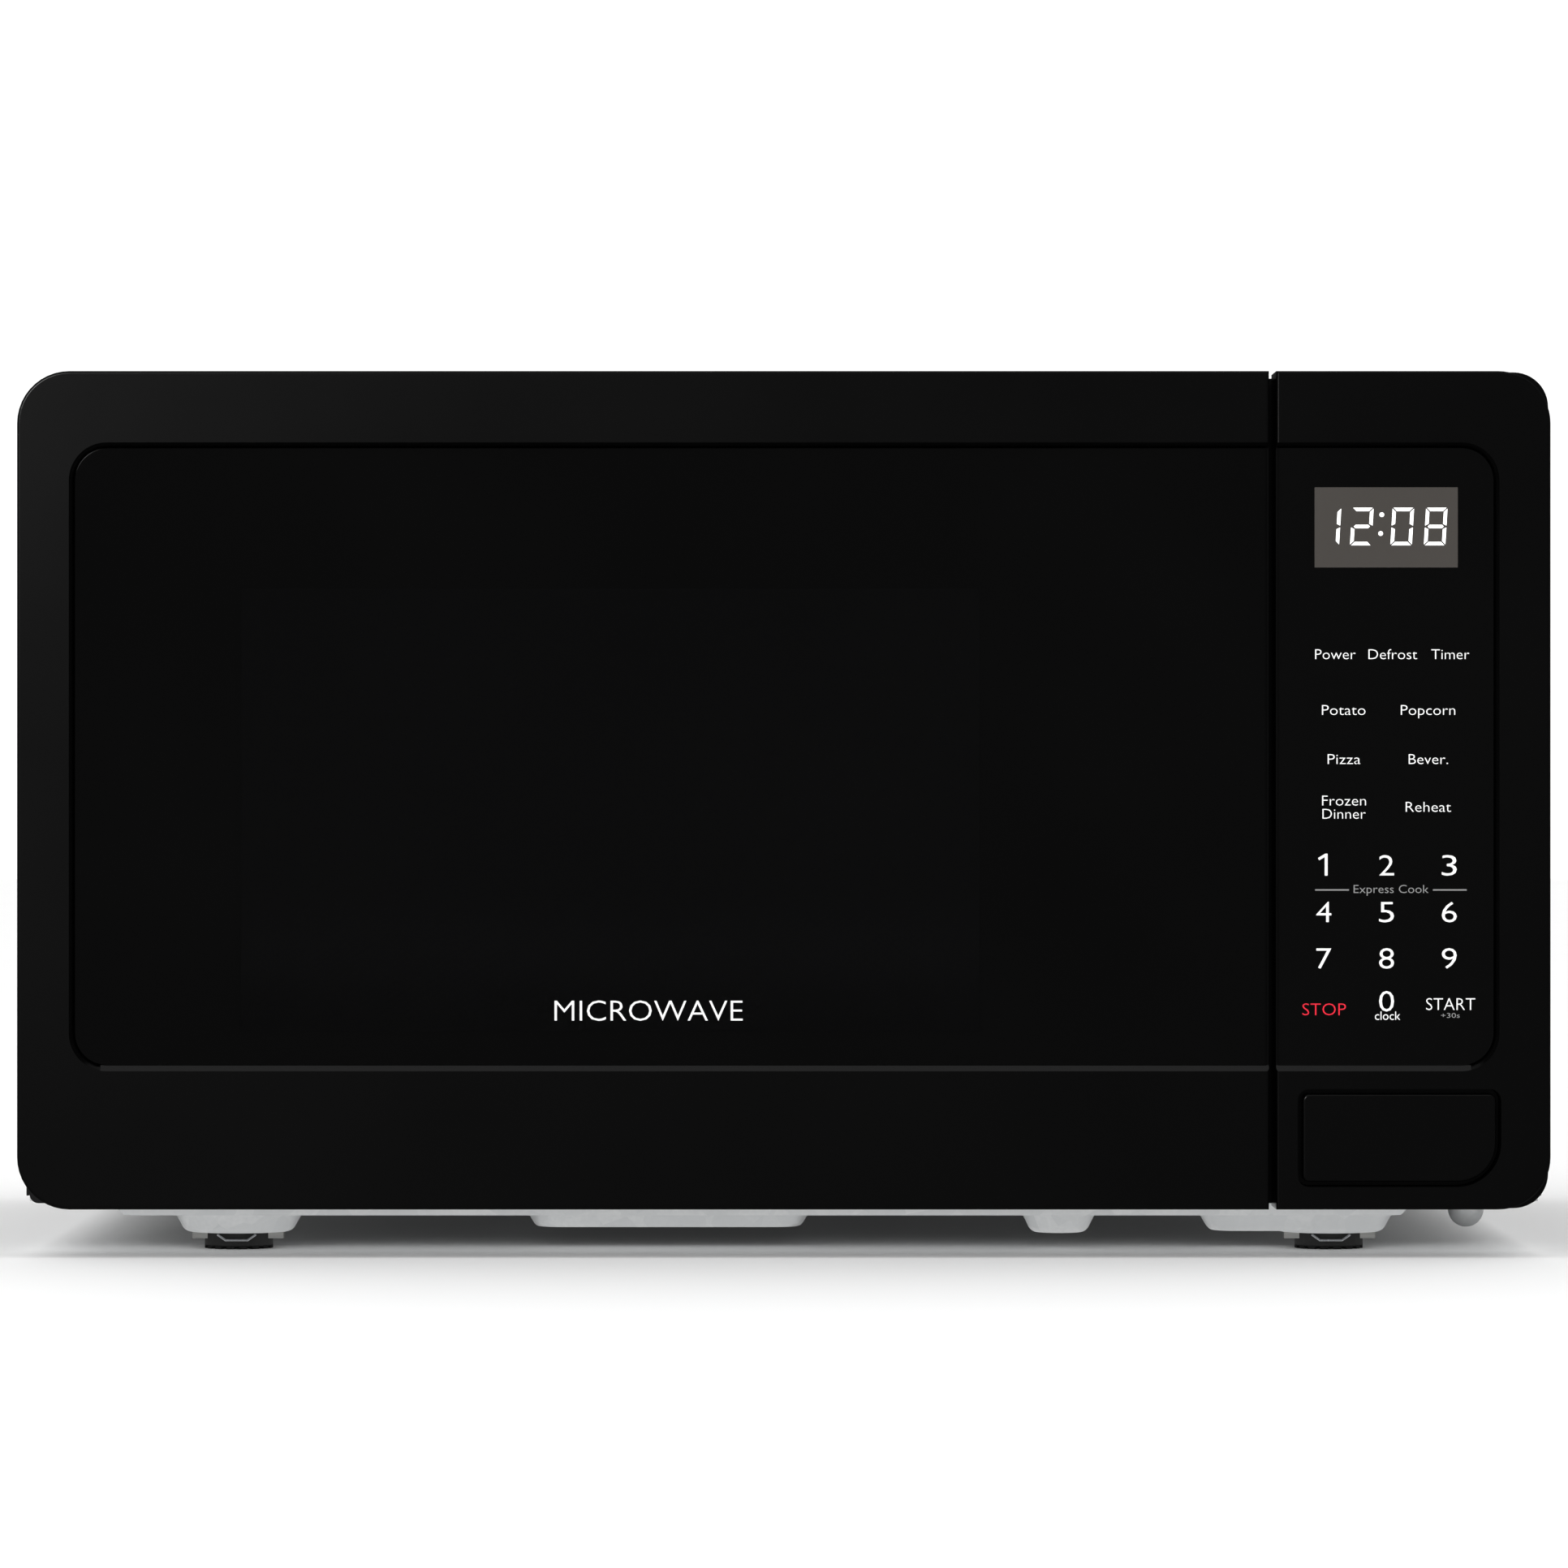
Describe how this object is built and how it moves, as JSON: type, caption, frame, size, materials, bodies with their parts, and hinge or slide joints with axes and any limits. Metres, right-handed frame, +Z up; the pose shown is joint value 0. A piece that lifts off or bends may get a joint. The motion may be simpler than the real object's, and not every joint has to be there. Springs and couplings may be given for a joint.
{
  "type": "microwave oven",
  "caption": "Countertop microwave oven: black gloss front, side-hung door behind one sunk glass field, touch controls, push-button door release and glass turntable.",
  "frame": {"origin": "on the worktop, under the middle of the oven's overall box", "axes": "+Z up, the front with the door faces -Y, the door hinges on the -X side and the controls are on the +X side"},
  "size_m": [0.44, 0.345, 0.2546],
  "materials": {
    "front_gloss": "gloss black moulded plastic",
    "dark_glass": "smoked glass with a black printed border",
    "overlay": "gloss black touch overlay",
    "display": "grey display filter",
    "case_paint": "black powder-coated sheet steel",
    "galvanised": "galvanised sheet steel",
    "enamel": "light grey enamelled steel",
    "screen_paint": "black painted sheet steel",
    "clear_film": "clear plastic film",
    "black_plastic": "black moulded plastic",
    "white_plastic": "white moulded plastic",
    "mica": "pressed mica sheet",
    "tray_glass": "clear tempered glass",
    "rubber": "black rubber",
    "zinc": "zinc-plated steel",
    "spring_steel": "bright spring steel",
    "copper": "enamelled copper wire",
    "ferrite": "dark ferrite",
    "fin_aluminium": "thin aluminium",
    "iron_core": "varnished steel laminations",
    "board": "tan paper-laminate circuit board",
    "can": "pressed aluminium can",
    "lamp_glass": "lamp with its holder"
  },
  "bodies": {
    "root": {"outer_case": "case_paint", "base_plate": "galvanised", "rear_panel": "galvanised", "cord_bushing": "black_plastic", "case_screws": "zinc", "front_plate": "case_paint", "cavity_wrap": "enamel", "cavity_floor": "enamel", "cavity_back": "enamel", "waveguide_cover": "mica", "waveguide": "galvanised", "oven_lamp": "lamp_glass", "turntable_motor": "galvanised", "magnetron_yoke": "galvanised", "magnetron_magnets": "ferrite", "magnetron_fins": "fin_aluminium", "magnetron_anode": "copper", "magnetron_filter_box": "galvanised", "transformer_core": "iron_core", "transformer_windings": "copper", "capacitor": "can", "capacitor_clamp": "zinc", "diode": "black_plastic", "fan_shroud": "white_plastic", "fan_motor": "iron_core", "filter_board": "board", "thermal_cutout": "black_plastic", "control_panel": "front_gloss", "touch_overlay": "overlay", "display_window": "display", "control_board": "board", "latch_board": "white_plastic", "door_switches": "black_plastic", "hinge_lower": "zinc", "hinge_upper": "zinc", "hinge_rivets": "zinc", "feet": "rubber", "foot_straps": "zinc", "foot_wires": "spring_steel"},
    "door": {"door_frame": "front_gloss", "door_glass": "dark_glass", "door_plate": "screen_paint", "door_screen": "screen_paint", "choke_cover": "black_plastic", "inner_window": "clear_film", "hook_spring": "spring_steel"},
    "hooks": {"latch_hooks": "white_plastic"},
    "button": {"open_button": "front_gloss", "button_spring": "spring_steel"},
    "lever": {"release_lever": "white_plastic"},
    "primary_switch": {"primary_plunger": "white_plastic"},
    "secondary_switch": {"secondary_plunger": "white_plastic"},
    "monitor_switch": {"monitor_plunger": "white_plastic"},
    "coupler": {"drive_coupler": "white_plastic"},
    "tray": {"glass_tray": "tray_glass"},
    "ring": {"roller_ring": "white_plastic"},
    "wheel_1": {"roller_1": "white_plastic"},
    "wheel_2": {"roller_2": "white_plastic"},
    "wheel_3": {"roller_3": "white_plastic"},
    "fan": {"fan_blade": "white_plastic"}
  },
  "joints": [
    {"name": "door_hinge", "type": "hinge", "parent": "root", "child": "door", "pos_m": [-0.212, -0.1585, 0.134], "axis": [0, 0, -1], "range_deg": [0, 100]},
    {"name": "button_push", "type": "slide", "parent": "root", "child": "button", "axis": [0, 1, 0], "range_m": [0, 0.006], "stiffness_N_per_m": 300, "springref_m": -0.002, "deforming": ["button_spring"]},
    {"name": "hook_lift", "type": "slide", "parent": "door", "child": "hooks", "axis": [0, 0, 1], "range_m": [0, 0.0036], "deforming": ["hook_spring"]},
    {"name": "lever_swing", "type": "hinge", "parent": "root", "child": "lever", "pos_m": [0.144, -0.142, 0.058], "axis": [1, 0, 0], "range_deg": [0, 15.67]},
    {"name": "primary_press", "type": "slide", "parent": "root", "child": "primary_switch", "axis": [0, 1, 0], "range_m": [0, 0.0012], "stiffness_N_per_m": 500, "springref_m": -0.0005},
    {"name": "secondary_press", "type": "slide", "parent": "root", "child": "secondary_switch", "axis": [0, 1, 0], "range_m": [0, 0.0012], "stiffness_N_per_m": 500, "springref_m": -0.0005},
    {"name": "monitor_press", "type": "slide", "parent": "root", "child": "monitor_switch", "axis": [0, 1, 0], "range_m": [0, 0.0012], "stiffness_N_per_m": 500, "springref_m": -0.0005},
    {"name": "tray_spin", "type": "hinge", "parent": "root", "child": "coupler", "pos_m": [-0.044, -0.0027, 0.03], "axis": [0, 0, 1], "continuous": true},
    {"name": "tray_lift", "type": "slide", "parent": "coupler", "child": "tray", "axis": [0, 0, 1], "range_m": [0, 0.012]},
    {"name": "ring_spin", "type": "hinge", "parent": "root", "child": "ring", "pos_m": [-0.044, -0.0027, 0.0342], "axis": [0, 0, 1], "continuous": true},
    {"name": "wheel_1_spin", "type": "hinge", "parent": "ring", "child": "wheel_1", "pos_m": [-0.044, 0.0813, 0.0342], "axis": [0, 1, 0], "continuous": true},
    {"name": "wheel_2_spin", "type": "hinge", "parent": "ring", "child": "wheel_2", "pos_m": [-0.11675, -0.0447, 0.0342], "axis": [-0.866, -0.5, 0], "continuous": true},
    {"name": "wheel_3_spin", "type": "hinge", "parent": "ring", "child": "wheel_3", "pos_m": [0.02875, -0.0447, 0.0342], "axis": [0.866, -0.5, 0], "continuous": true},
    {"name": "fan_spin", "type": "hinge", "parent": "root", "child": "fan", "pos_m": [0.16, 0.139, 0.165], "axis": [0, 1, 0], "continuous": true}
  ],
  "couplings": [
    {"joint": "hook_lift", "follows": "button_push", "ratio": 0.6},
    {"joint": "lever_swing", "follows": "button_push", "rad_per_m": 45.45},
    {"joint": "ring_spin", "follows": "tray_spin", "ratio": 0.5},
    {"joint": "wheel_1_spin", "follows": "tray_spin", "ratio": -6},
    {"joint": "wheel_2_spin", "follows": "tray_spin", "ratio": -6},
    {"joint": "wheel_3_spin", "follows": "tray_spin", "ratio": -6}
  ]
}
